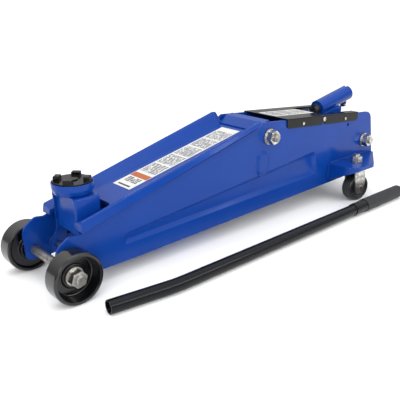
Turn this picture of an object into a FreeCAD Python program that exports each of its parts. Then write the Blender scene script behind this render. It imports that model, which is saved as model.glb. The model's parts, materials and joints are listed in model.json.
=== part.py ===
import FreeCAD, Part
import os
from math import sin, cos, radians, degrees, atan2, sqrt, hypot, tan

# Hydraulic trolley jack for tall vehicles, with its pump handle lying beside it.
# X runs from the front axle towards the rear, Y is left to right, Z is up.
# The origin is on the floor, under the middle of the front axle. All sizes are in mm.

os.makedirs("parts", exist_ok=True)

# ---------------------------------------------------------------- driving dimensions
# side plates
plate_in = 48.0
plate_t = 4.0
plate_out = plate_in + plate_t
# front axle and wheels
axle_r = 7.0
wheel_r = 38.0
wheel_y0 = 55.6
wheel_y1 = 84.3
wheel_hub_y = 68.0
# fasteners shared by the three cross shafts
thread_r = 7.0
washer_r = 14.0
washer_t = 2.8
nut_af = 22.0
nut_h = 12.8
stud_out = 4.5
# lift arm pivot, post pins and radius rod pins, all as (x, z)
pivot_a = (406.0, 164.0)
pin_c = (54.0, 90.0)
link_dx = -22.0
link_dz = -48.0
pin_d = (pin_c[0] + link_dx, pin_c[1] + link_dz)
pin_e = (pivot_a[0] + link_dx, pivot_a[1] + link_dz)
pivot_r = 10.0
post_pin_r = 7.0
rod_pin_r = 6.0
bolt_b = (704.0, 110.0)
# hydraulic unit
ram_z = 98.5
ram_r = 13.0
crank_f = (441.0, 103.4)
crank_pin_r = 8.0
crank_travel_play = 0.9
tank_r = 32.0
tank_x0 = 476.0
tank_x1 = 600.0
gland_x0 = 461.0
# handle socket
yoke_p = (600.0, 160.0)
socket_tilt = 12.1
socket_bore_r = 10.8
socket_r = 15.6
tube_rise = 18.3
tube_x0 = 612.0
tube_x1 = 712.0
# casters
king_x = 640.0
king_y = 82.0
shelf_z = 80.0
caster_r = 27.0
caster_trail = 2.5
caster_turn = -11.0
# handle
handle_r = 10.4
grip_r = 12.75
running_gap = 0.05


# ---------------------------------------------------------------- helpers
def V(x, y, z):
    return FreeCAD.Vector(x, y, z)


def box(x0, x1, y0, y1, z0, z1):
    return Part.makeBox(x1 - x0, y1 - y0, z1 - z0, V(x0, y0, z0))


def cyl_y(at, r, y0, y1):
    return Part.makeCylinder(r, y1 - y0, V(at[0], y0, at[1]), V(0, 1, 0))


def cyl_x(y, z, r, x0, x1):
    return Part.makeCylinder(r, x1 - x0, V(x0, y, z), V(1, 0, 0))


def cyl_z(x, y, r, z0, z1):
    return Part.makeCylinder(r, z1 - z0, V(x, y, z0), V(0, 0, 1))


def mirrored(shape):
    return shape.mirror(V(0, 0, 0), V(0, 1, 0))


def both(shape):
    return Part.makeCompound([shape, mirrored(shape)])


def rounded_wire(points, place):
    # closed outline of (u, v, corner radius), placed in space by a function of u and v
    edges = []
    ends = []
    count = len(points)
    for i in range(count):
        u, v, r = points[i]
        pu, pv, _ = points[i - 1]
        nu, nv, _ = points[(i + 1) % count]
        a = hypot(pu - u, pv - v)
        b = hypot(nu - u, nv - v)
        au, av = (pu - u) / a, (pv - v) / a
        bu, bv = (nu - u) / b, (nv - v) / b
        if r <= 0:
            ends.append(((u, v), (u, v), None))
            continue
        half = 0.5 * (atan2(au * bv - av * bu, au * bu + av * bv))
        reach = abs(r / tan(half))
        mu, mv = au + bu, av + bv
        m = hypot(mu, mv)
        mid_d = abs(r / sin(half)) - r
        mid = (u + mu / m * mid_d, v + mv / m * mid_d)
        ends.append(((u + au * reach, v + av * reach), (u + bu * reach, v + bv * reach), mid))
    for i in range(count):
        first, last, mid = ends[i]
        if mid is not None:
            edges.append(Part.Arc(place(*first), place(*mid), place(*last)).toShape())
        nxt = ends[(i + 1) % count][0]
        p = place(*last)
        q = place(*nxt)
        if p.distanceToPoint(q) > 1e-4:
            edges.append(Part.makeLine(p, q))
    return Part.Wire(Part.__sortEdges__(edges))


def prism_xz(points, y0, y1):
    wire = rounded_wire(points, lambda u, v: V(u, y0, v))
    return Part.Face(wire).extrude(V(0, y1 - y0, 0))


def prism_xy(points, z0, z1):
    wire = rounded_wire(points, lambda u, v: V(u, v, z0))
    return Part.Face(wire).extrude(V(0, 0, z1 - z0))


def prism_yz(points, x0, x1):
    wire = rounded_wire(points, lambda u, v: V(x0, u, v))
    return Part.Face(wire).extrude(V(x1 - x0, 0, 0))


def lathe_y(profile, at):
    # solid of revolution about the line through at along Y, profile is (radius, y)
    pts = [V(at[0] + r, y, at[1]) for r, y in profile]
    face = Part.Face(Part.makePolygon(pts + [pts[0]]))
    return face.revolve(V(at[0], 0, at[1]), V(0, 1, 0), 360)


def lathe_z(profile, x, y):
    pts = [V(x + r, y, z) for r, z in profile]
    face = Part.Face(Part.makePolygon(pts + [pts[0]]))
    return face.revolve(V(x, y, 0), V(0, 0, 1), 360)


def hex_prism(af, h):
    # hexagon along +Z with chamfered corners
    r = af / sqrt(3.0)
    pts = [V(r * cos(radians(60 * k)), r * sin(radians(60 * k)), 0) for k in range(7)]
    body = Part.Face(Part.makePolygon(pts)).extrude(V(0, 0, h))
    cone = Part.makeCone(r + 0.6 * h, r * 0.9, h * 1.1 + 1.2, V(0, 0, -0.1 * h - 0.2))
    turned = Part.makeCone(r * 0.9, r + 0.6 * h, h * 1.1 + 1.2, V(0, 0, -1.0))
    return body.common(cone).common(turned)


def nut_y(at, y0, side):
    # nut on a shaft along Y, starting at |y| = y0 on the given side
    nut = hex_prism(nut_af, nut_h)
    nut = nut.cut(Part.makeCylinder(thread_r, nut_h + 2, V(0, 0, -1)))
    nut.rotate(V(0, 0, 0), V(0, 0, 1), 12)
    nut.rotate(V(0, 0, 0), V(1, 0, 0), -90 * side)
    nut.translate(V(at[0], side * y0, at[1]))
    return nut


def washer_y(at, y0, side):
    lo, hi = sorted((side * y0, side * (y0 + washer_t)))
    return cyl_y(at, washer_r, lo, hi).cut(cyl_y(at, thread_r + 0.3, lo - 1, hi + 1))


def fused(shapes):
    out = shapes[0]
    for s in shapes[1:]:
        out = out.fuse(s)
    return out.removeSplitter()


def save(name, shape):
    shape.exportStep("parts/%s.step" % name)


# ---------------------------------------------------------------- side plates
def plate_top(x):
    # the top edge behind the arm falls gently to the rear
    return 190.5 - 0.070 * (x - 387.0)


def make_plate():
    outline = [
        (-13, 22.0, 8),
        (-16, 74.0, 20),
        (6, 88.0, 10),
        (20, 86.0, 8),
        (374, 181.6, 3),
        (387, 190.5, 5),
        (723, plate_top(723), 19),
        (748, 44.0, 14),
        (120, 24.1, 0),
    ]
    plate = prism_xz(outline, -plate_out, -plate_in)
    # long stiffening groove pressed inwards along the lower half
    depth = 5.0
    rim = [(84, 52, 7), (100, 68, 12), (545, 114, 12), (552, 66, 14), (100, 50, 7)]
    bed = [(94, 56, 3), (104, 63, 6), (536, 104, 6), (541, 75, 7), (106, 56, 3)]
    rim_in = [(80, 47, 9), (98, 72, 14), (550, 119, 14), (558, 61, 16), (98, 46, 9)]
    bed_in = [(90, 52, 4), (102, 67, 8), (541, 109, 8), (546, 70, 9), (104, 52, 4)]

    def loft(a, ya, b, yb):
        wa = rounded_wire(a, lambda u, v: V(u, ya, v))
        wb = rounded_wire(b, lambda u, v: V(u, yb, v))
        return Part.makeLoft([wa, wb], True, True)

    dish = loft(rim, -plate_out - 0.01, bed, -plate_out + depth)
    back = loft(rim_in, -plate_in - 0.01, bed_in, -plate_in + depth)
    # raised tab that anchors the radius rod's stub
    boss = prism_xz([(380, 100, 9), (380, 135, 9), (403, 135, 9), (403, 100, 9)], -plate_out - 3, -plate_out)
    plate = plate.fuse(back).fuse(boss).cut(dish)
    # holes: axle, arm pivot, rear bolt, jig hole
    plate = plate.cut(cyl_y((0, wheel_r), axle_r + 0.3, -60, -40))
    plate = plate.cut(cyl_y(pivot_a, pivot_r + 0.05, -60, -40))
    plate = plate.cut(cyl_y(bolt_b, thread_r + 0.3, -60, -40))
    plate = plate.cut(cyl_y((644, 150), 3.5, -60, -40))
    return plate


near_plate = make_plate()

# welded bottom tie plates and the stubs for the radius rods
tie_z = 27.0
save("bottom_tie_plate", box(170, 300, -plate_in, plate_in, tie_z, tie_z + 4))
stub_y = 33.5
stub = cyl_y(pin_e, rod_pin_r, -plate_in, -stub_y)
stub = stub.fuse(cyl_y(pin_e, rod_pin_r + 4, -plate_in, -44.2))
save("rod_stubs", both(stub.removeSplitter()))

# ---------------------------------------------------------------- front axle, wheels
stack = wheel_hub_y + 0.3
axle_end = stack + washer_t + nut_h + stud_out
axle = cyl_y((0, wheel_r), axle_r, -axle_end, axle_end)
axle = axle.makeChamfer(1.2, [e for e in axle.Edges if e.BoundBox.YLength < 0.1])
save("front_axle", axle)
spacer = cyl_y((0, wheel_r), 12, -wheel_y0 + 0.3, -plate_out - 0.05)
spacer = spacer.cut(cyl_y((0, wheel_r), axle_r + 0.05, -60, -50))
save("axle_spacers", both(spacer))

wheel_profile = [
    (axle_r + running_gap, wheel_hub_y),
    (16.6, wheel_hub_y),
    (17.6, wheel_hub_y - 0.8),
    (18.6, wheel_hub_y - 2.4),
    (29.0, wheel_hub_y - 2.2),
    (31.4, wheel_hub_y - 0.2),
    (32.6, wheel_y1 - 2.4),
    (33.2, wheel_y1 - 0.7),
    (34.2, wheel_y1),
    (35.6, wheel_y1),
    (37.3, wheel_y1 - 0.9),
    (wheel_r, wheel_y1 - 3.0),
    (wheel_r, wheel_y0 + 3.4),
    (37.3, wheel_y0 + 1.3),
    (35.6, wheel_y0 + 0.4),
    (34.0, wheel_y0 + 0.4),
    (32.8, wheel_y0 + 1.2),
    (31.2, wheel_y0 + 4.2),
    (20.0, wheel_y0 + 5.0),
    (18.0, wheel_y0 + 4.2),
    (17.0, wheel_y0),
    (axle_r + running_gap, wheel_y0),
]
wheel = lathe_y(wheel_profile, (0, wheel_r))
save("front_wheel_far", wheel)
save("front_wheel_near", mirrored(wheel))

# ---------------------------------------------------------------- cross shafts and their nuts
shaft_washer_y = plate_out + 0.05
shaft_end = shaft_washer_y + washer_t + nut_h + stud_out
pivot = cyl_y(pivot_a, pivot_r, -plate_out, plate_out)
pivot = pivot.fuse(cyl_y(pivot_a, thread_r, -shaft_end, shaft_end)).removeSplitter()
save("arm_pivot_shaft", pivot)
rear = cyl_y(bolt_b, thread_r, -shaft_end, shaft_end)
save("rear_cross_bolt", rear)
nuts = []
washers = []
for at, y0 in (((0, wheel_r), stack), (pivot_a, shaft_washer_y), (bolt_b, shaft_washer_y)):
    for side in (-1, 1):
        washers.append(washer_y(at, y0, side))
        nuts.append(nut_y(at, y0 + washer_t, side))
save("shaft_nuts", Part.makeCompound(nuts))
save("shaft_washers", Part.makeCompound(washers))

# ---------------------------------------------------------------- lift arm
def web_z(x):
    return 121.0 + 0.227 * (x - 128.0)


def arm_outer(x, t):
    # half of the arm's outer section, t runs from 0 at the nose to 1 at the hub
    z = web_z(x)
    return [
        (0.0, z),
        (33.0 + 5.5 * t, z),
        (46.0 + 8.0 * t, z + 5.5 + 12.0 * t),
        (51.0 + 7.5 * t, z + 7.5 + 11.5 * t),
        (54.5 + 7.0 * t, z + 6.5 + 11.5 * t),
        (57.0 + 7.5 * t, z - 8.0 + 22.0 * t),
    ]


def arm_inner(x, t):
    z = web_z(x)
    return [
        (0.0, z - 4.2),
        (34.5 + 5.5 * t, z - 4.2),
        (47.5 + 6.5 * t, z + 1.2 + 11.0 * t),
        (51.0 + 7.3 * t, z + 3.4 + 11.3 * t),
        (52.9 + 7.2 * t, z + 2.6 + 11.9 * t),
        (53.6 + 8.0 * t, z - 7.0 + 19.5 * t),
    ]


def section(x, t):
    outer = arm_outer(x, t)
    inner = arm_inner(x, t)
    pts = outer + inner[::-1] + [(-y, z) for y, z in inner[1:]] + [(-y, z) for y, z in outer[::-1][:-1]]
    return Part.makePolygon([V(x, y, z) for y, z in pts] + [V(x, pts[0][0], pts[0][1])])


def nose_section(x, t):
    # the same outline filled in down to its lower lip, for the wall that closes the nose
    half = arm_outer(x, t)
    pts = half + [(-y, z) for y, z in half[::-1][:-1]]
    return Part.makePolygon([V(x, y, z) for y, z in pts] + [V(x, pts[0][0], pts[0][1])])


arm_x0 = 18.0
arm_x1 = 374.0
shell = Part.makeLoft([section(arm_x0, 0.0), section(arm_x1, 1.0)], True, True)
# the nose is rounded in side view, closed by a wall, and open in the middle for the saddle post
nose_wall = 4.5
mouth_x1 = 87.0
nose_side = [(30, 78, 6), (23.5, 90, 6), (24, 104, 9), (60, 128, 0), (400, 236, 0), (400, 60, 0), (60, 60, 0)]
keep = prism_xz(nose_side, -90, 90)
nose_len = 40.0
nose_t = nose_len / (arm_x1 - arm_x0)
nose = Part.makeLoft([nose_section(arm_x0, 0.0), nose_section(arm_x0 + nose_len, nose_t)], True, True)
nose = nose.common(keep).cut(keep.translated(V(nose_wall, 0, -nose_wall)))
mouth = prism_xy([(0, -35.5, 0), (mouth_x1, -35.5, 9), (mouth_x1, 35.5, 9), (0, 35.5, 0)], 60, 160)
tail = prism_xz([(360, 150, 0), (374.5, 172, 0), (374.5, 215, 0), (420, 215, 0), (420, 150, 0)], -90, 90)
shell = shell.common(keep).fuse(nose).cut(mouth).cut(tail).removeSplitter()
save("arm_shell", shell)

cheek_y0 = 36.2
cheek_y1 = 42.5
cheek_profile = [
    (36, 84, 8),
    (46, 76, 4),
    (66, 79, 0),
    (340, 139.0, 30),
    (392, 137.0, 14),
    (434, 146, 18),
    (428, 186.9, 14),
    (412, 186.9, 0),
    (398, 185.9, 0),
    (387, 178.2, 0),
    (375, web_z(373) - 4.8, 0),
    (80, web_z(80) - 4.6, 0),
    (42, web_z(42) - 4.6, 6),
]
cheek = prism_xz(cheek_profile, -cheek_y1, -cheek_y0)
cheek = cheek.cut(cyl_y(pin_c, post_pin_r, -60, -20)).cut(cyl_y(pivot_a, 22.0, -60, -20))
save("arm_cheeks", both(cheek))

hub = cyl_y(pivot_a, 22.0, -47.6, 47.6).cut(cyl_y(pivot_a, pivot_r + running_gap, -60, 60))
save("arm_hub", hub)
# rear cap plate between the web and the hub
cap = prism_xz([(375.5, 173.0, 0), (374.8, 177.2, 0), (384, 182.0, 0), (396, 189.0, 4), (412, 191.5, 0),
                (412, 187.4, 0), (398, 186.4, 0), (387, 178.8, 0)], -46.5, 46.5)
save("arm_rear_cap", cap)

ear_y0 = 24.0
ear_y1 = 32.0
ear_dir = (crank_f[0] - pivot_a[0], crank_f[1] - pivot_a[1])
ear_len = hypot(*ear_dir)
nx, nz = -ear_dir[1] / ear_len, ear_dir[0] / ear_len
tip_r = 15.0
root_r = 27.0
quad = [
    (pivot_a[0] + nx * root_r, pivot_a[1] + nz * root_r, 0),
    (crank_f[0] + nx * tip_r, crank_f[1] + nz * tip_r, 0),
    (crank_f[0] - nx * tip_r, crank_f[1] - nz * tip_r, 0),
    (pivot_a[0] - nx * root_r, pivot_a[1] - nz * root_r, 0),
]
ear = prism_xz(quad, -ear_y1, -ear_y0)
ear = ear.fuse(cyl_y(pivot_a, root_r - 4.2, -ear_y1, -ear_y0)).fuse(cyl_y(crank_f, tip_r, -ear_y1, -ear_y0))
ear = ear.cut(cyl_y(pivot_a, 22.0, -60, 0)).cut(cyl_y(crank_f, crank_pin_r, -60, 0)).removeSplitter()
save("crank_ears", both(ear))
save("crank_pin", cyl_y(crank_f, crank_pin_r, -ear_y1 - 2, ear_y1 + 2))

label = box(128, 369, -22, 22, 0, 0.3)
label.rotate(V(128, 0, 0), V(0, 1, 0), -degrees(atan2(0.227, 1)))
label.translate(V(0, 0, web_z(128) + 0.02))
save("arm_label", label)
save("post_pin_upper", cyl_y(pin_c, post_pin_r, -44.5, 44.5))

# ---------------------------------------------------------------- saddle post and saddle
post_in = 29.5
post_out = 34.0
side = [
    (28, 131, 3),
    (31, 68, 16),
    (18, 52, 8),
    (20, 31, 10),
    (42, 31, 10),
    (48, 70, 14),
    (70, 84, 8),
    (70, 131, 3),
]
wall = prism_xz(side, -post_out, -post_in)
wall = wall.cut(cyl_y(pin_c, post_pin_r + running_gap, -60, -20))
wall = wall.cut(cyl_y(pin_d, rod_pin_r, -60, -20))
web = box(34, 38.5, -post_in, post_in, 74, 131).cut(cyl_y(pin_c, 16, -60, 60))
back = box(65.5, 70, -post_in, post_in, 106, 131)
lid = box(28.2, 70, -post_in, post_in, 126.5, 131)
lid = lid.cut(box(28, 33, -26, 26, 120, 128.5))
post = fused([wall, mirrored(wall), web, back, lid])
top_edges = [e for e in post.Edges
             if e.BoundBox.ZMin > 130.9 and e.BoundBox.XLength > 30 and abs(e.BoundBox.YMin) > 33]
post = post.makeFillet(3.0, top_edges)
post = post.cut(cyl_z(46, 0, 9.05, 100, 140))
save("saddle_post", post)
cup = lathe_z([(9.0, 131.05), (27, 131.05), (28.4, 134), (30.2, 138), (31.0, 140.5),
               (31.0, 148.0), (29.4, 148.6), (29.0, 144.2), (9.0, 144.2)], 46, 0)
save("saddle_cup", cup)

disc = lathe_z([(0, 144.4), (28.6, 144.4), (28.6, 149.0), (27.6, 150.0), (0, 150.0)], 46, 0)
lugs = []
for k in range(4):
    lug = box(-6.5, 6.5, 17.5, 26.5, 149.0, 156.0)
    lug = lug.makeFillet(1.8, [e for e in lug.Edges if e.BoundBox.ZMin > 155.9])
    lug.rotate(V(0, 0, 0), V(0, 0, 1), 45 + 90 * k)
    lug.translate(V(46, 0, 0))
    lugs.append(lug)
centre_boss = cyl_z(46, 0, 8.0, 149.0, 151.5)
saddle_stem = cyl_z(46, 0, 8.95, 117.0, 144.4)
saddle = fused([disc, centre_boss, saddle_stem] + lugs)
save("saddle", saddle)

# ---------------------------------------------------------------- radius rods
rod_y0 = 36.4
rod_y1 = 42.3
rod = prism_xz([
    (pin_d[0], pin_d[1] - 6, 0), (pin_e[0], pin_e[1] - 6, 0),
    (pin_e[0], pin_e[1] + 6, 0), (pin_d[0], pin_d[1] + 6, 0)], -rod_y1, -rod_y0)
for pin in (pin_d, pin_e):
    rod = rod.fuse(cyl_y(pin, 10.5, -rod_y1, -rod_y0))
rod = rod.cut(cyl_y(pin_d, rod_pin_r + 0.35, -60, -20)).cut(cyl_y(pin_e, rod_pin_r + running_gap, -60, -20))
save("radius_rods", both(rod.removeSplitter()))
lower_pin = cyl_y(pin_d, rod_pin_r, -46.5, 46.5)
lower_pin = lower_pin.fuse(cyl_y(pin_d, 9.0, -46.5, -42.8)).fuse(cyl_y(pin_d, 9.0, 42.8, 46.5))
save("post_pin_lower", lower_pin.removeSplitter())

# ---------------------------------------------------------------- hydraulic unit
block_top = 142.0
block = box(600.1, 690, -40, 40, 62, block_top)
block = block.makeFillet(5, [e for e in block.Edges if e.BoundBox.XLength > 80])
lug_b = prism_xz([(680, 92, 0), (722, 92, 14), (722, 128, 14), (680, 128, 0)], -26, 26)
ears = []
for s in (-1, 1):
    lo, hi = sorted((s * 24, s * 33))
    ears.append(prism_xz([(601, 134, 0), (588, 150, 8), (588, 173, 12), (612, 173, 12), (632, 134, 0)], lo, hi))
block = fused([block, lug_b] + ears)
block = block.cut(cyl_y(bolt_b, thread_r + running_gap, -60, 60)).cut(cyl_y(yoke_p, 6.0, -60, 60))
plunger_x = 634.0
block = block.cut(cyl_z(plunger_x, 0, 7.05, 78, 160))
block = block.cut(cyl_x(0, 72, 5.05, 655, 700))
block = block.cut(cyl_z(plunger_x, 0, 11.0, 126, block_top + 1))
save("valve_block", block)

tank = cyl_x(0, ram_z, tank_r, tank_x0, tank_x1).cut(cyl_x(0, ram_z, tank_r - 2.5, tank_x0 - 1, tank_x1 + 1))
save("reservoir_tank", tank.cut(cyl_z(540, 0, 4.02, 120, 140)))
cylinder = cyl_x(0, ram_z, 23, tank_x0, tank_x1).cut(cyl_x(0, ram_z, 18.05, tank_x0 - 1, tank_x1 + 1))
save("ram_cylinder", cylinder)
gland = hex_prism(52, tank_x0 - gland_x0)
gland.rotate(V(0, 0, 0), V(0, 1, 0), 90)
gland.translate(V(gland_x0, 0, ram_z))
flange = cyl_x(0, ram_z, tank_r, tank_x0 - 4, tank_x0 - 0.01)
gland = gland.fuse(flange).cut(cyl_x(0, ram_z, ram_r + running_gap, 400, 700)).removeSplitter()
save("gland_nut", gland)
plug = cyl_z(540, 0, 6.5, ram_z + tank_r + 0.3, ram_z + tank_r + 5)
plug = plug.fuse(cyl_z(540, 0, 4.0, ram_z + tank_r - 4, ram_z + tank_r + 1)).removeSplitter()
save("filler_plug", plug)

# ram rod with piston, and the slotted crosshead that drives the crank pin
ram = cyl_x(0, ram_z, ram_r, 452, 580).fuse(cyl_x(0, ram_z, 18.0, 580, 594)).removeSplitter()
save("ram", ram)
slot_r = crank_pin_r + crank_travel_play
head = prism_xz([(421, 78, 6), (421, 121, 6), (459, 121, 6), (459, 78, 6)], -22, 22)
slot = prism_xz([
    (crank_f[0] - slot_r, 84, 6), (crank_f[0] - slot_r, 114, 6),
    (crank_f[0] + slot_r, 114, 6), (crank_f[0] + slot_r, 84, 6)], -30, 30)
head = head.cut(slot).cut(cyl_x(0, ram_z, ram_r, 451.99, 470))
wing = prism_yz([(-39.5, 73, 2), (-39.5, 82, 2), (39.5, 82, 2), (39.5, 73, 2)], 453.5, 458.5)
head = head.fuse(wing).removeSplitter()
save("ram_crosshead", head)

# return springs between the crosshead's wings and the block
spring_y = 34.0
spring_z = 77.0
spring_x0 = 459.0
spring_x1 = 599.5
wire_r = 0.9
coil_r = 4.3
turns = 24
coil = Part.makeHelix((spring_x1 - spring_x0 - 2 * wire_r) / turns, spring_x1 - spring_x0 - 2 * wire_r, coil_r)
start = Part.Wire(Part.makeCircle(wire_r, V(coil_r, 0, 0), V(0, 1, 0)))
spring = Part.Wire(coil.Edges).makePipeShell([start], True, True)
spring.rotate(V(0, 0, 0), V(0, 1, 0), 90)
spring.translate(V(spring_x0 + wire_r, -spring_y, spring_z))
save("return_springs", Part.makeCompound([spring, spring.translated(V(0, 2 * spring_y, 0))]))

# pump plunger, stands in the block under the yoke's roller
plunger_top = 138.0
plunger = cyl_z(plunger_x, 0, 7.0, 84, plunger_top)
cap_disc = cyl_z(plunger_x, 0, 10.5, plunger_top, plunger_top + 3)
save("pump_plunger", plunger.fuse(cap_disc).removeSplitter())

# release valve with its square-shouldered stem at the rear of the block
valve = cyl_x(0, 72, 5.0, 656, 712).fuse(cyl_x(0, 72, 8, 692, 700)).fuse(cyl_x(0, 72, 6.5, 705, 716))
save("release_valve", valve.removeSplitter())

# ---------------------------------------------------------------- handle yoke and socket tube
def tilt(shape, about=yoke_p, angle=socket_tilt):
    out = shape.copy()
    out.rotate(V(about[0], 0, about[1]), V(0, 1, 0), -angle)
    return out


tube_z = yoke_p[1] + tube_rise
# everything here is drawn level and then tipped up about the yoke pin
side_plate = []
for s in (-1, 1):
    lo, hi = sorted((s * 16.4, s * 22.5))
    cheek_p = prism_xz([(589, 149.5, 9), (589, 171, 9), (662, 172, 6), (662, 162, 5), (642, 134.5, 8), (621, 138.5, 6)],
                       lo, hi)
    side_plate.append(cheek_p.cut(cyl_y(yoke_p, 6.0 + running_gap, -60, 60)))
bridge = prism_yz([(-16.5, 157, 0), (-16.5, 171.5, 0), (16.5, 171.5, 0), (16.5, 157, 0)], 644, 654)
bridge = bridge.cut(cyl_x(0, tube_z, socket_r + running_gap, 600, 700))
yoke = fused([tilt(p) for p in side_plate + [bridge]])
bar_at = (plunger_x, plunger_top + 3 + 7.3)
yoke = yoke.cut(cyl_y(bar_at, 3.0, -60, 60))
save("handle_yoke", yoke)
save("yoke_pin", cyl_y(yoke_p, 6.0, -36, 36))
bar = cyl_y(bar_at, 7.0, -9, 9).fuse(cyl_y(bar_at, 3.0, -23, 23)).removeSplitter()
save("yoke_push_bar", bar)

socket = cyl_x(0, tube_z, socket_r, tube_x0, tube_x1).cut(cyl_x(0, tube_z, socket_bore_r, tube_x0 + 6, tube_x1 + 1))
notch = box(tube_x1 - 5, tube_x1 + 1, -3.5, 3.5, tube_z + 5, tube_z + 20)
screw_hole = cyl_z(tube_x1 - 13, 0, 4.0, tube_z - 20, tube_z - 5)
screw_pad = cyl_z(tube_x1 - 13, 0, 7.0, tube_z - socket_r - 3, tube_z - socket_bore_r - 0.5)
screw_pad = screw_pad.cut(cyl_x(0, tube_z, socket_bore_r, 600, 800))
socket = socket.fuse(screw_pad).cut(notch).cut(screw_hole).removeSplitter()
save("socket_tube", tilt(socket))
screw = cyl_z(tube_x1 - 13, 0, 4.0, tube_z - socket_r - 9, tube_z - socket_bore_r - 0.3)
screw = screw.fuse(cyl_z(tube_x1 - 13, 0, 6.6, tube_z - socket_r - 9, tube_z - socket_r - 3.2)).removeSplitter()
save("clamp_screw", tilt(screw))
knuckle = cyl_x(0, tube_z, 9.0, tube_x0 - 14, tube_x0 - 0.1)
knuckle = knuckle.cut(box(tube_x0 - 15, tube_x0 - 6, -4, 4, tube_z - 12, tube_z + 12))
save("release_knuckle", tilt(knuckle))

# ---------------------------------------------------------------- top cover
cover_x0 = 452.0
cover_x1 = 673.0
cover_t = 2.0
flange_y = plate_out + 0.3


def cover_line(x, up):
    return plate_top(x) + 0.3 + up


top = prism_xz([
    (cover_x0, cover_line(cover_x0, 0), 0), (cover_x1, cover_line(cover_x1, 0), 0),
    (cover_x1, cover_line(cover_x1, cover_t), 0), (cover_x0, cover_line(cover_x0, cover_t), 0)],
    -flange_y - cover_t, flange_y + cover_t)
slot_open = prism_xy([(572, -37, 6), (572, 37, 6), (690, 37, 0), (690, -37, 0)], 150, 200)
top = top.cut(slot_open)
skirt = prism_xz([
    (cover_x0, cover_line(cover_x0, cover_t), 0), (cover_x1, cover_line(cover_x1, cover_t), 0),
    (cover_x1, cover_line(cover_x1, -15.5), 8), (566, cover_line(566, -15.5), 2), (563, cover_line(563, -11.5), 2),
    (557, cover_line(557, -11.5), 2), (554, cover_line(554, -15.5), 2), (cover_x0, cover_line(cover_x0, -15.5), 8)],
    -flange_y - cover_t, -flange_y)
cover = fused([top, skirt, mirrored(skirt)])
edge = [e for e in cover.Edges if e.BoundBox.XLength > 200 and abs(abs(e.BoundBox.YMin) - flange_y - cover_t) < 0.01
        and e.BoundBox.ZMax > cover_line(cover_x0, cover_t) - 0.01]
cover = cover.makeFillet(1.6, edge)
screws = []
for sx, dz, r in ((497, -9.0, 3.0), (560, -5.0, 4.2), (629, -9.0, 3.0)):
    at = (sx, cover_line(sx, dz))
    for s in (-1, 1):
        lo, hi = sorted((s * (flange_y + cover_t), s * (flange_y + cover_t + 1.6)))
        head_s = cyl_y(at, r, lo, hi)
        lo, hi = sorted((s * (plate_in + 0.5), s * (flange_y + cover_t)))
        screws.append(head_s.fuse(cyl_y(at, 1.6, lo, hi)).removeSplitter())
        cover = cover.cut(cyl_y(at, 1.6, lo, hi))
        if s < 0:
            near_plate = near_plate.cut(cyl_y(at, 1.6, lo, hi))
save("top_cover", cover)
save("cover_screws", Part.makeCompound(screws))
save("side_plate_near", near_plate)
save("side_plate_far", mirrored(near_plate))
tag = prism_xz([
    (458, cover_line(458, cover_t + 0.02), 0), (567, cover_line(567, cover_t + 0.02), 0),
    (567, cover_line(567, cover_t + 0.3), 0), (458, cover_line(458, cover_t + 0.3), 0)], -23, 23)
save("cover_label", tag)

# ---------------------------------------------------------------- caster brackets and casters
# a level shelf with a folded rim that is deep at the side plate and shallow at its outer edge
sheet = 4.0
shelf_plan = [(587.5, -50, 0), (587.5, -113.5, 24), (655, -113.5, 14), (735, -60, 10), (735, -50, 0)]
shelf_in = [(591.5, -40, 0), (591.5, -109.5, 20), (653.8, -109.5, 10), (731, -57.9, 6), (731, -40, 0)]
seam_y = -plate_out - 0.05
rim = prism_yz([(seam_y, 45, 0), (-115, 73, 0), (-115, shelf_z, 0), (seam_y, shelf_z, 0)], 580, 740)
bracket = prism_xy(shelf_plan, 40, shelf_z).common(rim)
bracket = bracket.cut(prism_xy(shelf_in, 30, shelf_z - sheet))
bracket = bracket.cut(cyl_z(king_x, -king_y, 6.2, 20, 130))
save("caster_bracket_near", bracket)
save("caster_bracket_far", mirrored(bracket))


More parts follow.
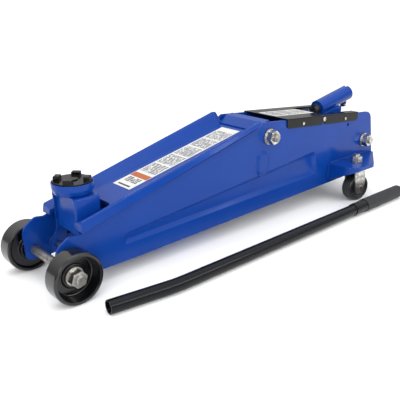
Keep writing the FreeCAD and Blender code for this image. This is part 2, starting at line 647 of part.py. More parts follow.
def caster(side):
    x, y = king_x, 0.0
    fork_top = 69.5
    fork_round = 20.2
    fork = prism_xz([(x - 15, fork_top, 4), (x + 15, fork_top, 4), (x + 13, 40, 10), (x + caster_trail + 11, 16, 10),
                     (x + caster_trail - 11, 16, 10), (x - 13, 40, 10)], -15.4, 15.4)
    gap = prism_xz([(x - 40, fork_top - 3, 0), (x + 40, fork_top - 3, 0), (x + 40, 0, 0), (x - 40, 0, 0)], -12.4, 12.4)
    fork = fork.cut(gap).cut(cyl_y((x + caster_trail, caster_r), 4.0, -20, 20)).cut(cyl_z(x, 0, 6.0, 40, 90))
    fork = fork.common(cyl_z(x, 0, fork_round, 0, fork_top + 1))
    race = cyl_z(x, y, 13, fork_top + 0.02, shelf_z - 4.05).cut(cyl_z(x, y, 6.0, 60, 90))
    kingpin = cyl_z(x, y, 6.0, fork_top - 3, 96.0).fuse(cyl_z(x, y, 9.0, fork_top - 8.0, fork_top - 3.0))
    washer = cyl_z(x, y, 12.0, shelf_z + 0.05, shelf_z + 2.4).cut(cyl_z(x, y, 6.1, 60, 110))
    nut = hex_prism(19, 9.5)
    nut.translate(V(x, y, shelf_z + 2.5))
    nut = nut.cut(cyl_z(x, y, 6.0, 60, 110))
    axle_c = cyl_y((x + caster_trail, caster_r), 4.0, -16.4, 16.4)
    axle_c = axle_c.fuse(cyl_y((x + caster_trail, caster_r), 6.0, -17.6, -15.45))
    axle_c = axle_c.fuse(cyl_y((x + caster_trail, caster_r), 6.0, 15.45, 17.6)).removeSplitter()
    half = 11.8
    prof = [(4.05, -half), (9, -half), (9.6, -half + 1.5), (18, -half + 2.2), (19, -half + 0.3), (24.2, -half + 0.3),
            (26.2, -half + 2.2), (26.8, -7.6), (26.0, -6.6), (26.0, -5.6), (caster_r, -4.6), (caster_r, -1.0),
            (26.1, -0.4), (26.1, 0.4), (caster_r, 1.0), (caster_r, 4.6), (26.0, 5.6), (26.0, 6.6), (26.8, 7.6),
            (26.2, half - 2.2), (24.2, half - 0.3), (19, half - 0.3), (18, half - 2.2), (9.6, half - 1.5),
            (9, half), (4.05, half)]
    roll = lathe_y(prof, (x + caster_trail, caster_r))
    out = []
    for shape in (fork, race, kingpin.removeSplitter(), washer, nut, axle_c, roll):
        s = shape.copy()
        s.rotate(V(x, 0, 0), V(0, 0, 1), -caster_turn * side)
        s.translate(V(0, side * king_y, 0))
        out.append(s)
    return out


for side_name, s in (("near", -1), ("far", 1)):
    fork, race, kingpin, washer, nut, axle_c, roll = caster(s)
    save("caster_fork_" + side_name, fork)
    save("caster_kingpin_" + side_name, Part.makeCompound([kingpin, nut]))
    save("caster_wheel_" + side_name, roll)
    save("caster_axle_" + side_name, axle_c)
    save("caster_race_" + side_name, Part.makeCompound([race, washer]))

# ---------------------------------------------------------------- handle, lying on the floor
handle_x0 = 14.0
bend_x = 138.0
collar_x = 556.0
grip_x = 592.0
handle_x1 = 722.0
bend_deg = 8.0
handle_bore = 8.4


def tube_run(r):
    straight = cyl_x(0, 0, r, bend_x, grip_x + 60)
    arc_r = 260.0
    ring = Part.Face(Part.Wire(Part.makeCircle(r, V(bend_x, 0, 0), V(1, 0, 0))))
    bent = ring.revolve(V(bend_x, arc_r, 0), V(0, 0, 1), -bend_deg)
    end = V(bend_x - arc_r * sin(radians(bend_deg)), arc_r * (1 - cos(radians(bend_deg))), 0)
    way = V(-cos(radians(bend_deg)), sin(radians(bend_deg)), 0)
    run = (end.x - handle_x0) / cos(radians(bend_deg))
    nose_run = Part.makeCylinder(r, run, end, way)
    return fused([straight, bent, nose_run]), end, way, run


outer_run, end, way, run = tube_run(handle_r)
inner_run, _, _, _ = tube_run(handle_bore)
tip = end + way * run
tube = outer_run.cut(inner_run)
slit = box(-14, 14, -1.6, 1.6, 4, 14)
slit.rotate(V(0, 0, 0), V(0, 0, 1), -bend_deg)
slit.translate(V(tip.x, tip.y, 0))
tube = tube.cut(slit)
grip = cyl_x(0, 0, grip_r, grip_x, handle_x1)
grip = grip.makeFillet(7.0, [e for e in grip.Edges if e.BoundBox.XMin > handle_x1 - 0.1])
grip = grip.cut(cyl_x(0, 0, handle_r, grip_x - 1, grip_x + 60.3))
ring = cyl_x(0, 0, handle_r + 1.2, collar_x, grip_x - 0.3).cut(cyl_x(0, 0, handle_r, 500, 650))
rise = (grip_r - handle_r) / (grip_x - handle_x0)


def lay(shape):
    out = shape.copy()
    out.rotate(V(grip_x, 0, 0), V(0, 1, 0), -degrees(atan2(rise, 1)))
    out.rotate(V(grip_x, 0, 0), V(0, 0, 1), 0.6)
    out.translate(V(0, -137.5, grip_r + 0.06))
    return out


save("handle_tube", lay(tube))
save("handle_grip", lay(grip))
save("handle_collar", lay(ring))
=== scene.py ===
"""Finish of a hydraulic trolley jack: enamel, zinc, cast iron, rubber and printed vinyl on a fixed frame."""
import bpy
import bmesh
import json
from math import cos, pi, radians, sin, tan, tau
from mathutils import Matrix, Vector


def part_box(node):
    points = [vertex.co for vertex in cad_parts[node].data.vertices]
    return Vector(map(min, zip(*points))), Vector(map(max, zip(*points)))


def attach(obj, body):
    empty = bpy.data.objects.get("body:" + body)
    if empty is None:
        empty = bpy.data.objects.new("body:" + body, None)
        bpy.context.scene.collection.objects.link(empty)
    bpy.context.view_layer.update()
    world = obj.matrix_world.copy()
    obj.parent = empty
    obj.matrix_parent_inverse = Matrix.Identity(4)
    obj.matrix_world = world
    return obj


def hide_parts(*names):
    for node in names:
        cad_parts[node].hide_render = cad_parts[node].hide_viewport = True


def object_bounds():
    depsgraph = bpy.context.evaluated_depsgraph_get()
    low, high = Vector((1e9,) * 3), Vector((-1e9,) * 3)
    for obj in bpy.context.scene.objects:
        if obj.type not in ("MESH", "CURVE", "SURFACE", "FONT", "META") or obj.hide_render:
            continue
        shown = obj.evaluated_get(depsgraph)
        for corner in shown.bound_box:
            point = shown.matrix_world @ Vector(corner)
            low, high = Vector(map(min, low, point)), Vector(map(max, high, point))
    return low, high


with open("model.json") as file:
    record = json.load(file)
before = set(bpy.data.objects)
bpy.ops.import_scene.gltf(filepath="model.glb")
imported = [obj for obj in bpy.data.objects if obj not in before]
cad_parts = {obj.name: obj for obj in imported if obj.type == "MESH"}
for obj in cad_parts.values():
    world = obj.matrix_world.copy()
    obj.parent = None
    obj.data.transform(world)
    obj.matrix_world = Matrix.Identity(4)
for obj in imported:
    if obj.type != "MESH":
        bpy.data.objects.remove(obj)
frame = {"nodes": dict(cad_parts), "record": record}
cad_low, cad_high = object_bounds()
nodes = frame["nodes"]
behaviour = frame["record"]["behaviour"]
home = {node: body for body, held in behaviour["bodies"].items() for node in held}
record_slot = {part["node"]: part["material_slot"] for part in frame["record"]["subparts"]}

MM = 0.001
# the jack's two sides: the sign of Y outwards, and the word in their pieces' names
SIDES = ((-1, "near"), (1, "far"))
# outer face of the flat side plates, in mm from the middle
PLATE_FACE = 52.0
# inputs and output of a Mix node that mixes colours
FIRST = 6
SECOND = 7
MIXED = 2


# ---------------------------------------------------------------- shader helpers
def linear(code):
    """An sRGB hex colour as linear red, green, blue and alpha."""
    parts = [int(code[i:i + 2], 16) / 255 for i in (1, 3, 5)]
    return tuple(c / 12.92 if c <= 0.04045 else ((c + 0.055) / 1.055) ** 2.4 for c in parts) + (1.0,)


def per_metre(mm):
    """The texture scale that gives features of this many millimetres."""
    return 1000.0 / mm


def add(tree, kind, inputs, **settings):
    """One shader node with its settings, and its inputs set or linked."""
    node = tree.nodes.new("ShaderNode" + kind)
    for name, value in settings.items():
        setattr(node, name, value)
    for name, value in inputs.items():
        if isinstance(value, bpy.types.NodeSocket):
            tree.links.new(value, node.inputs[name])
        else:
            node.inputs[name].default_value = value
    return node


def start(name):
    """A bare material, its node tree and the piece's own coordinates in metres."""
    material = bpy.data.materials.new(name)
    material.use_nodes = True
    tree = material.node_tree
    tree.nodes.clear()
    return material, tree, add(tree, "TexCoord", {}).outputs["Object"]


def finish(tree, inputs):
    """Closes a material with its shader."""
    shader = add(tree, "BsdfPrincipled", inputs)
    add(tree, "OutputMaterial", {"Surface": shader.outputs["BSDF"]})


# ---------------------------------------------------------------- materials
def gloss_enamel(name, shade, deep, edge, rough, wear, lustre):
    """Alkyd enamel sprayed over pressed steel: wet gloss with orange peel, thin and paler along the edges."""
    material, tree, place = start(name)
    # slow drifts in film thickness, about a hand's width
    drift = add(tree, "TexNoise", {"Vector": place, "Scale": per_metre(70), "Detail": 3.0}).outputs["Fac"]
    body = add(tree, "Mix", {"Factor": drift, FIRST: linear(deep), SECOND: linear(shade)}, data_type="RGBA")
    # the paint draws back from edges, and handling rubs it in patches
    rim = add(tree, "NewGeometry", {}).outputs["Pointiness"]
    rim = add(tree, "MapRange", {"Value": rim, "From Min": 0.57, "From Max": 0.66, "To Max": wear}).outputs[0]
    patch = add(tree, "TexNoise", {"Vector": place, "Scale": per_metre(9), "Detail": 5.0}).outputs["Fac"]
    patch = add(tree, "MapRange", {"Value": patch, "From Min": 0.35, "From Max": 0.6}).outputs[0]
    rub = add(tree, "Math", {0: rim, 1: patch}, operation="MULTIPLY").outputs[0]
    colour = add(tree, "Mix", {"Factor": rub, FIRST: body.outputs[MIXED], SECOND: linear(edge)},
                 data_type="RGBA")
    # faint wipe marks in the gloss
    wipe = add(tree, "TexNoise", {"Vector": place, "Scale": per_metre(22), "Detail": 6.0}).outputs["Fac"]
    gloss = add(tree, "MapRange", {"Value": wipe, "To Min": rough, "To Max": rough + 0.14}).outputs[0]
    # orange peel is 2 to 5 mm across
    peel = add(tree, "TexNoise", {"Vector": place, "Scale": per_metre(4.5), "Detail": 1.0}).outputs["Fac"]
    skin = add(tree, "Bump", {"Height": peel, "Strength": 0.05, "Distance": 0.3 * MM}).outputs["Normal"]
    finish(tree, {"Base Color": colour.outputs[MIXED], "Roughness": gloss, "Normal": skin, "IOR": 1.45,
                  "Specular IOR Level": lustre, "Coat Weight": 0.4 * lustre, "Coat Roughness": 0.05})
    return material


def plated_steel(name, bright, dull, rough, grain_mm, axis):
    """Zinc-plated or bare machined steel: metal with fine turning lines across an axis and dull blooms."""
    material, tree, place = start(name)
    bloom = add(tree, "TexNoise", {"Vector": place, "Scale": per_metre(7), "Detail": 4.0}).outputs["Fac"]
    bloom = add(tree, "MapRange", {"Value": bloom, "From Min": 0.35, "From Max": 0.68}).outputs[0]
    colour = add(tree, "Mix", {"Factor": bloom, FIRST: linear(bright), SECOND: linear(dull)},
                 data_type="RGBA")
    gloss = add(tree, "MapRange", {"Value": bloom, "To Min": rough, "To Max": rough + 0.2}).outputs[0]
    # turning lines are 0.1 to 0.3 mm apart and are drawn coarser, so that they show: one wave is tau / 20 of
    # a unit long, which puts them about twice grain_mm apart
    lines = add(tree, "TexWave", {"Vector": place, "Scale": per_metre(grain_mm) / tau, "Distortion": 1.5,
                                  "Detail": 2.0}, bands_direction=axis).outputs["Fac"]
    skin = add(tree, "Bump", {"Height": lines, "Strength": 0.15, "Distance": 0.1 * MM}).outputs["Normal"]
    finish(tree, {"Base Color": colour.outputs[MIXED], "Metallic": 1.0, "Roughness": gloss, "Normal": skin})
    return material


def cast_iron(name):
    """Sand-cast iron under thin black paint: dull, pitted like 1 mm sand grains."""
    material, tree, place = start(name)
    cloud = add(tree, "TexNoise", {"Vector": place, "Scale": per_metre(18), "Detail": 5.0}).outputs["Fac"]
    colour = add(tree, "Mix", {"Factor": cloud, FIRST: linear("#141518"), SECOND: linear("#2C2D31")},
                 data_type="RGBA")
    gloss = add(tree, "MapRange", {"Value": cloud, "To Min": 0.42, "To Max": 0.7}).outputs[0]
    sand = add(tree, "TexNoise", {"Vector": place, "Scale": per_metre(1.4), "Detail": 3.0}).outputs["Fac"]
    skin = add(tree, "Bump", {"Height": sand, "Strength": 0.5, "Distance": 0.4 * MM}).outputs["Normal"]
    finish(tree, {"Base Color": colour.outputs[MIXED], "Roughness": gloss, "Normal": skin, "IOR": 1.5})
    return material


def moulded_black(name, shade, pale, rough, grain_mm, grain_depth, sheen):
    """Black rubber, nylon or foam straight from the mould: even, fine-grained, with a dusty bloom."""
    material, tree, place = start(name)
    dust = add(tree, "TexNoise", {"Vector": place, "Scale": per_metre(14), "Detail": 6.0}).outputs["Fac"]
    dust = add(tree, "MapRange", {"Value": dust, "From Min": 0.4, "From Max": 0.75}).outputs[0]
    colour = add(tree, "Mix", {"Factor": dust, FIRST: linear(shade), SECOND: linear(pale)}, data_type="RGBA")
    gloss = add(tree, "MapRange", {"Value": dust, "To Min": rough, "To Max": rough + 0.12}).outputs[0]
    grain = add(tree, "TexVoronoi", {"Vector": place, "Scale": per_metre(grain_mm)}).outputs["Distance"]
    skin = add(tree, "Bump", {"Height": grain, "Strength": grain_depth,
                              "Distance": 0.3 * MM}).outputs["Normal"]
    finish(tree, {"Base Color": colour.outputs[MIXED], "Roughness": gloss, "Normal": skin, "IOR": 1.52,
                  "Sheen Weight": sheen, "Sheen Roughness": 0.5})
    return material


def printed_vinyl(name, blocks):
    """White vinyl film with screen print: blocks of unreadable small print and plain solid bands, in mm."""
    row_depth = 3.6
    letter_width = 1.6
    # the share of letter cells left blank, and the share of a row's depth that is inked
    blank_share = 0.2
    inked_share = 0.64
    material, tree, place = start(name)
    spot = add(tree, "SeparateXYZ", {0: place}).outputs
    # the rows of print run across the film
    row = add(tree, "Math", {0: spot["X"], 1: per_metre(row_depth)}, operation="MULTIPLY").outputs[0]
    cell = add(tree, "Math", {0: spot["Y"], 1: per_metre(letter_width)}, operation="MULTIPLY").outputs[0]
    row_number = add(tree, "Math", {0: row}, operation="FLOOR").outputs[0]
    cell_number = add(tree, "Math", {0: cell}, operation="FLOOR").outputs[0]
    seat = add(tree, "CombineXYZ", {"X": row_number, "Y": cell_number}).outputs[0]
    letter = add(tree, "TexWhiteNoise", {"Vector": seat}).outputs["Value"]
    letter = add(tree, "Math", {0: letter, 1: blank_share}, operation="GREATER_THAN").outputs[0]
    line = add(tree, "Math", {0: row}, operation="FRACT").outputs[0]
    line = add(tree, "Math", {0: line, 1: inked_share}, operation="LESS_THAN").outputs[0]
    ink = add(tree, "Math", {0: letter, 1: line}, operation="MULTIPLY").outputs[0]
    # handling greys the film in patches
    soil = add(tree, "TexNoise", {"Vector": place, "Scale": per_metre(12), "Detail": 5.0}).outputs["Fac"]
    film = add(tree, "Mix", {"Factor": soil, FIRST: linear("#D6D6D4"), SECOND: linear("#C6C6C3")},
               data_type="RGBA").outputs[MIXED]
    for first, last, half_width, code, printed in blocks:
        along = add(tree, "Math", {0: spot["X"], 1: 0.5 * (first + last) * MM, 2: 0.5 * (last - first) * MM},
                    operation="COMPARE").outputs[0]
        across = add(tree, "Math", {0: spot["Y"], 1: 0.0, 2: half_width * MM}, operation="COMPARE").outputs[0]
        block = add(tree, "Math", {0: along, 1: across}, operation="MULTIPLY").outputs[0]
        if printed:
            block = add(tree, "Math", {0: block, 1: ink}, operation="MULTIPLY").outputs[0]
        film = add(tree, "Mix", {"Factor": block, FIRST: film, SECOND: linear(code)},
                   data_type="RGBA").outputs[MIXED]
    gloss = add(tree, "MapRange", {"Value": soil, "To Min": 0.3, "To Max": 0.5}).outputs[0]
    wrinkle = add(tree, "TexNoise", {"Vector": place, "Scale": per_metre(6), "Detail": 2.0}).outputs["Fac"]
    skin = add(tree, "Bump", {"Height": wrinkle, "Strength": 0.06, "Distance": 0.2 * MM}).outputs["Normal"]
    finish(tree, {"Base Color": film, "Roughness": gloss, "Normal": skin, "IOR": 1.5})
    return material


blue_enamel = gloss_enamel("royal_blue_gloss_enamel", "#0A3D92", "#063484", "#2E62B6", 0.16, 0.2, 0.18)
black_enamel = gloss_enamel("black_gloss_enamel", "#050608", "#030304", "#202125", 0.1, 0.15, 0.2)
wheel_enamel = gloss_enamel("black_stoved_wheel_enamel", "#0B0C0F", "#060709", "#34363C", 0.13, 0.2, 0.55)
handle_enamel = gloss_enamel("blue_black_tube_enamel", "#090B12", "#06070C", "#2C303C", 0.2, 0.25, 0.2)
# a block is (first, last, half width, ink, whether it is broken up into print), with first and last along X
arm_blocks = [(144, 157, 16, "#15171F", True)]
arm_blocks += [(178 + 35 * k, 209 + 35 * k, 19, "#4C4E52", True) for k in range(5)]
arm_blocks += [(132, 135.5, 15, "#2A211C", False), (160, 172, 21.2, "#A5500F", False)]
cover_blocks = [(464, 492, 19, "#2F3138", True), (497, 528, 20, "#44464C", True),
                (533, 561, 17, "#55585D", True)]
arm_print = printed_vinyl("printed_vinyl_arm_label", arm_blocks)
cover_print = printed_vinyl("printed_vinyl_cover_label", cover_blocks)
zinc = plated_steel("bright_zinc_plated_steel", "#CFCDC8", "#98958F", 0.24, 0.9, "Y")
bare_bar = plated_steel("bare_cold_drawn_bar", "#A9A9A7", "#77746F", 0.34, 0.8, "Y")
ground_rod = plated_steel("hard_chrome_ground_rod", "#D6D8DA", "#BFC2C4", 0.12, 0.6, "X")
spring_wire = plated_steel("drawn_spring_wire", "#8B8985", "#5E5B57", 0.36, 0.7, "X")
iron = cast_iron("black_painted_cast_iron")
caster_tyre = moulded_black("moulded_nylon_roller", "#16171A", "#2A2B2E", 0.3, 1.5, 0.08, 0.0)
grip_foam = moulded_black("closed_cell_grip_foam", "#0D0F14", "#1A1D24", 0.66, 1.1, 0.35, 0.05)
plug_rubber = moulded_black("nitrile_filler_plug", "#131313", "#252525", 0.55, 1.0, 0.15, 0.1)


# ---------------------------------------------------------------- mesh helpers
def piece(name, shape, body, material, sharp=40.0):
    """Makes a finished piece from a bmesh, in place in the row frame, riding on a body."""
    mesh = bpy.data.meshes.new(name)
    for face in shape.faces:
        face.smooth = True
    for edge in shape.edges:
        edge.smooth = edge.calc_face_angle(pi) < radians(sharp)
    shape.to_mesh(mesh)
    shape.free()
    mesh.materials.append(material)
    obj = bpy.data.objects.new(name, mesh)
    bpy.context.scene.collection.objects.link(obj)
    weights = obj.modifiers.new("even_faces", "WEIGHTED_NORMAL")
    weights.keep_sharp = True
    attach(obj, body)
    return obj


def softened(node, radius, segments):
    """A CAD node's shape with its edges rounded over by a radius in mm, which stands for the node."""
    joined_within = 0.002 * MM
    flat_within = radians(0.6)
    keen_from = radians(35.0)
    shape = bmesh.new()
    shape.from_mesh(nodes[node].data)
    bmesh.ops.remove_doubles(shape, verts=shape.verts, dist=joined_within)
    bmesh.ops.dissolve_limit(shape, angle_limit=flat_within, verts=shape.verts, edges=shape.edges)
    keen = [e for e in shape.edges if e.is_manifold and e.calc_face_angle(0.0) > keen_from]
    bmesh.ops.bevel(shape, geom=keen, affect="EDGES", offset=radius * MM, segments=segments, profile=0.5,
                    material=-1, clamp_overlap=True)
    slot = record_slot[node]
    obj = piece(node + "_finished", shape, home[node], finish_of_slot[slot])
    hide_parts(node)


def skinned(rings):
    """A closed skin over rings of points given in mm, with a flat face over the first and the last ring."""
    shape = bmesh.new()
    loops = []
    for ring in rings:
        corners = [shape.verts.new([c * MM for c in point]) for point in ring]
        loops.append([shape.edges.new((corners[k - 1], corners[k])) for k in range(len(corners))])
    for first, last in zip(loops, loops[1:]):
        bmesh.ops.bridge_loops(shape, edges=first + last)
    bmesh.ops.holes_fill(shape, edges=shape.edges, sides=0)
    bmesh.ops.recalc_face_normals(shape, faces=shape.faces)
    return shape


def weld_bead(name, corners, radius, body):
    """A painted weld run through corners given in mm, rippled where each drop of metal overlaps the last."""
    # one drop of metal and one step along the run, in mm
    drop = 2.4
    step = 0.6
    sides = 12
    angles = [tau * k / sides for k in range(sides)]
    # each end starts this many steps into its taper, which is so many steps long
    blunt_steps = 0.6
    tapered_steps = 3
    # shares of the radius: between two drops, and what each drop adds
    valley = 0.86
    ripple = 0.2
    # a run that climbs more steeply than this is crossed along X
    steep = 0.9
    path = []
    for first, last in zip(corners, corners[1:]):
        first = Vector(first)
        last = Vector(last)
        count = max(2, round((last - first).length / step))
        path += [first.lerp(last, k / count) for k in range(count)]
    path.append(Vector(corners[-1]))
    rings = []
    travelled = 0.0
    final = len(path) - 1
    for i, point in enumerate(path):
        ahead = (path[min(i + 1, final)] - path[max(i - 1, 0)]).normalized()
        beside = Vector((0, 0, 1)) if abs(ahead.z) < steep else Vector((1, 0, 0))
        across = ahead.cross(beside).normalized()
        up = across.cross(ahead)
        if i:
            travelled += (point - path[i - 1]).length
        taper = min(1.0, (min(i, final - i) + blunt_steps) / tapered_steps)
        swell = radius * taper * (valley + ripple * abs(sin(pi * travelled / drop)))
        rings.append([point + swell * (cos(a) * across + sin(a) * up) for a in angles])
    piece(name, skinned(rings), body, blue_enamel, sharp=60.0)


# ---------------------------------------------------------------- finishes of the CAD nodes
finish_of_slot = {
    "blue_paint": blue_enamel, "black_paint": black_enamel, "wheel_black": wheel_enamel,
    "handle_black": handle_enamel, "zinc_plate": zinc, "bare_steel": bare_bar, "ground_steel": ground_rod,
    "spring_steel": spring_wire, "black_cast": iron, "caster_black": caster_tyre, "grip_foam": grip_foam,
    "plug_rubber": plug_rubber,
}
label_finish = {"arm_label": arm_print, "cover_label": cover_print}
for node, obj in nodes.items():
    for material_slot in obj.material_slots:
        material_slot.material = label_finish.get(node) or finish_of_slot[record_slot[node]]

# the radius in mm of each node's edges, and how many steps round them
edge_radius = {
    "side_plate_near": (1.2, 3), "side_plate_far": (1.2, 3), "arm_shell": (2.0, 3), "arm_cheeks": (0.8, 2),
    "arm_rear_cap": (1.2, 2), "arm_hub": (0.6, 2), "crank_ears": (0.8, 2), "saddle_post": (1.4, 3),
    "saddle_cup": (1.0, 3), "saddle": (1.5, 3), "radius_rods": (0.8, 2), "handle_yoke": (1.0, 2),
    "socket_tube": (0.8, 3), "caster_bracket_near": (1.6, 3), "caster_bracket_far": (1.6, 3),
    "top_cover": (0.7, 2), "shaft_nuts": (0.4, 2), "shaft_washers": (0.4, 2), "caster_fork_near": (0.9, 2),
    "caster_fork_far": (0.9, 2), "caster_kingpin_near": (0.4, 2), "caster_kingpin_far": (0.4, 2),
    "valve_block": (1.2, 2), "bottom_tie_plate": (0.6, 2), "cover_screws": (0.4, 2), "handle_tube": (0.4, 2),
    "handle_collar": (0.4, 2), "handle_grip": (0.8, 2), "caster_wheel_near": (0.4, 2),
    "caster_wheel_far": (0.4, 2), "front_axle": (0.3, 2), "release_knuckle": (0.8, 2),
    "clamp_screw": (0.5, 2), "ram_crosshead": (0.8, 2), "gland_nut": (0.6, 2), "crank_pin": (0.6, 2),
    "post_pin_lower": (0.6, 2), "post_pin_upper": (0.5, 2), "yoke_pin": (0.5, 2),
    "rear_cross_bolt": (0.5, 2), "arm_pivot_shaft": (0.5, 2), "filler_plug": (0.8, 2),
    "caster_axle_near": (0.5, 2), "caster_axle_far": (0.5, 2), "release_valve": (0.4, 2),
    "pump_plunger": (0.5, 2),
}
for node, (radius, segments) in edge_radius.items():
    softened(node, radius, segments)


# ---------------------------------------------------------------- front wheels
def filleted(corners):
    """A closed outline of (u, v, corner radius) with each corner drawn as an arc."""
    steps = 6
    outline = []
    for i, (u, v, radius) in enumerate(corners):
        here = Vector((u, v))
        back = (Vector(corners[i - 1][:2]) - here).normalized()
        ahead = (Vector(corners[(i + 1) % len(corners)][:2]) - here).normalized()
        half = 0.5 * back.angle(ahead)
        centre = here + (back + ahead).normalized() * radius / sin(half)
        first = here + back * radius / tan(half) - centre
        last = here + ahead * radius / tan(half) - centre
        outline += [centre + radius * first.lerp(last, k / steps).normalized() for k in range(steps + 1)]
    return outline


def front_wheel(side, word):
    """A dished cast wheel with a deep rim, turned about its axle."""
    node = "front_wheel_" + word
    axle = next(joint["pos_m"] for joint in behaviour["joints"] if joint["child"] == home[node])
    # radii, and distances out from the jack's middle, in mm
    bore = 7.05
    tread = 38.0
    hub_face = 68.0
    dish = 65.7
    outer_rim = 84.3
    inner_rim = 56.0
    hub_back = 55.6
    # (radius, distance out, corner radius): outer face, rim, tread, inner face
    section = filleted([
        (bore, hub_face, 0.3), (17.0, hub_face, 1.2), (18.8, dish, 1.2), (29.8, dish, 2.4),
        (32.9, outer_rim, 1.0), (36.4, outer_rim, 1.3), (tread, 82.0, 1.3), (tread, 58.0, 1.3),
        (36.4, inner_rim, 1.3), (33.2, inner_rim, 1.0), (31.0, 60.4, 1.6), (19.6, 60.6, 1.4),
        (17.4, hub_back, 0.8), (bore, hub_back, 0.3)])
    turning_steps = 96
    shape = bmesh.new()
    ring = [shape.verts.new((r * MM, side * out * MM, 0)) for r, out in section]
    edges = [shape.edges.new((ring[i - 1], ring[i])) for i in range(len(ring))]
    bmesh.ops.spin(shape, geom=ring + edges, cent=(0, 0, 0), axis=(0, 1, 0), angle=tau,
                   steps=turning_steps, use_merge=True)
    bmesh.ops.remove_doubles(shape, verts=shape.verts, dist=0.001 * MM)
    bmesh.ops.translate(shape, vec=(axle[0], 0, axle[2]), verts=shape.verts)
    bmesh.ops.recalc_face_normals(shape, faces=shape.faces)
    wheel = piece(node + "_turned", shape, home[node], wheel_enamel)
    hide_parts(node)


for side, word in SIDES:
    front_wheel(side, word)


# ---------------------------------------------------------------- pressed bosses on the side plates
def pressed_boss(side, word):
    """The soft-shouldered swelling in a side plate over the radius rod's stub, with its sizes in mm."""
    middle_x = 391.5
    middle_z = 117.5
    # the corners' centres stand this far from the middle
    corner_x = 2.5
    corner_z = 8.5
    corner_radius = 9.0
    corner_steps = 8
    # each step of the shoulder: how far it spreads past the corner radius, and its rise from the plate
    shoulder = ((5.2, -1.5), (5.2, 0.0), (3.6, 0.35), (2.2, 1.3), (1.0, 2.5), (-0.4, 3.3), (-2.4, 3.6))
    rings = []
    for spread, rise in shoulder:
        reach = corner_radius + spread
        ring = []
        for way_x, way_z, turn in ((1, 1, 0), (-1, 1, 90), (-1, -1, 180), (1, -1, 270)):
            for k in range(corner_steps + 1):
                a = radians(turn + 90 * k / corner_steps)
                ring.append((middle_x + corner_x * way_x + reach * cos(a), side * (PLATE_FACE + rise),
                             middle_z + corner_z * way_z + reach * sin(a)))
        rings.append(ring)
    piece("rod_anchor_boss_" + word, skinned(rings), "frame", blue_enamel, sharp=60.0)


for side, word in SIDES:
    pressed_boss(side, word)


# ---------------------------------------------------------------- weld runs
def bracket_welds(side, word):
    """The runs along the top and down the front of a caster bracket, where it meets the side plate."""
    low, high = (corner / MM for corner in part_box("caster_bracket_near"))
    top_y = side * (PLATE_FACE + 0.9)
    top_z = high.z + 0.7
    front_x = low.x - 0.5
    front_y = side * (PLATE_FACE + 1.0)
    weld_bead("bracket_top_weld_" + word, [(low.x + 2.5, top_y, top_z), (high.x - 3.0, top_y, top_z)], 1.7,
              "frame")
    weld_bead("bracket_front_weld_" + word,
              [(front_x, front_y, low.z + 2.0), (front_x, front_y, high.z - 1.0)], 1.7, "frame")


def arm_ridge_weld(side, word):
    """The run up the end of one of the arm's ridges, against the rear cap; its path is (y, z) in mm."""
    ridge_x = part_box("arm_rear_cap")[0].x / MM + 0.6
    path = ((39.5, 177.5), (46, 184.8), (53.5, 192.6), (58, 194.8))
    weld_bead("arm_ridge_weld_" + word, [(ridge_x, side * y, z) for y, z in path], 2.2, "lift_arm")


def arm_cross_welds():
    """The runs across both ends of the arm's rear cap: to the web in front and to the hub behind."""
    cap_low, cap_high = (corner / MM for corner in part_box("arm_rear_cap"))
    web_x = cap_low.x + 0.4
    web_z = 177.7
    hub_x = cap_high.x + 1.2
    hub_z = 188.4
    weld_bead("arm_web_weld", [(web_x, -37, web_z), (web_x, 37, web_z)], 2.4, "lift_arm")
    weld_bead("arm_hub_weld", [(hub_x, -35, hub_z), (hub_x, 35, hub_z)], 1.8, "lift_arm")


for side, word in SIDES:
    bracket_welds(side, word)
    arm_ridge_weld(side, word)
arm_cross_welds()


# ---------------------------------------------------------------- floor, light and camera
def area_light(name, place, target, size, power):
    """A soft rectangular light that faces its target."""
    lamp = bpy.data.lights.new(name, "AREA")
    lamp.shape = "RECTANGLE"
    lamp.size, lamp.size_y = size
    lamp.energy = power
    obj = bpy.data.objects.new(name, lamp)
    obj.location = place
    obj.rotation_euler = (Vector(target) - Vector(place)).to_track_quat("-Z", "Y").to_euler()
    bpy.context.scene.collection.objects.link(obj)


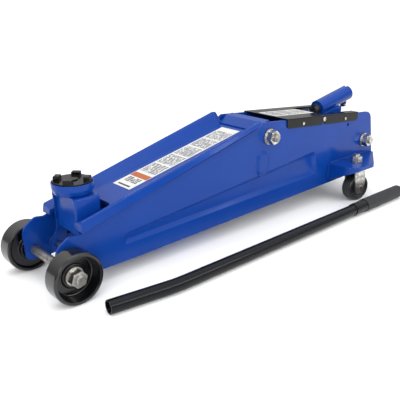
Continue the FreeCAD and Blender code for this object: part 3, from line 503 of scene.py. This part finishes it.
def studio():
    """A plain pale floor, a white surround and large soft lights, in metres."""
    floor_half = 60
    material, tree, place = start("pale_matt_floor")
    mottle = add(tree, "TexNoise", {"Vector": place, "Scale": per_metre(400), "Detail": 2.0}).outputs["Fac"]
    colour = add(tree, "Mix", {"Factor": mottle, FIRST: linear("#FBFBFA"), SECOND: linear("#FDFDFD")},
                 data_type="RGBA")
    finish(tree, {"Base Color": colour.outputs[MIXED], "Roughness": 0.8})
    shape = bmesh.new()
    bmesh.ops.create_grid(shape, x_segments=1, y_segments=1, size=floor_half)
    bmesh.ops.translate(shape, vec=(0, 0, cad_low[2]), verts=shape.verts)
    mesh = bpy.data.meshes.new("floor")
    shape.to_mesh(mesh)
    shape.free()
    mesh.materials.append(material)
    floor = bpy.data.objects.new("floor", mesh)
    bpy.context.scene.collection.objects.link(floor)

    # a bright ceiling over darker walls, which blend between these heights of a unit sphere
    wall_top = 0.1
    ceiling_edge = 0.7
    wall_glow = 0.4
    ceiling_glow = 1.35
    world = bpy.data.worlds.new("studio")
    world.use_nodes = True
    tree = world.node_tree
    height = add(tree, "SeparateXYZ", {0: add(tree, "TexCoord", {}).outputs["Generated"]}).outputs["Z"]
    glow = add(tree, "MapRange", {"Value": height, "From Min": wall_top, "From Max": ceiling_edge,
                                  "To Min": wall_glow, "To Max": ceiling_glow}).outputs[0]
    tree.links.new(glow, tree.nodes["Background"].inputs["Strength"])
    tree.nodes["Background"].inputs["Color"].default_value = (1, 1, 1, 1)
    bpy.context.scene.world = world
    middle = (0.35, 0, 0.1)
    area_light("overhead_softbox", (0.1, -0.1, 1.6), middle, (1.6, 1.0), 6)
    area_light("front_softbox", (-1.3, -1.1, 1.0), middle, (0.7, 0.7), 12)
    area_light("side_strip", (0.9, -1.5, 0.9), middle, (1.4, 0.4), 9)


def camera():
    """The view from the front left, a little above, with a normal lens."""
    # degrees up from straight down, and round from the Y axis
    tilt = 70.06
    heading = -41.71
    lens = bpy.data.cameras.new("camera")
    lens.lens = 51.67
    lens.sensor_width = 36
    lens.clip_end = 200
    obj = bpy.data.objects.new("camera", lens)
    obj.location = (-0.3376, -0.7048, 0.4020)
    obj.rotation_euler = (radians(tilt), 0, radians(heading))
    bpy.context.scene.collection.objects.link(obj)
    bpy.context.scene.camera = obj


studio()
camera()
bpy.context.scene.view_settings.view_transform = "Standard"
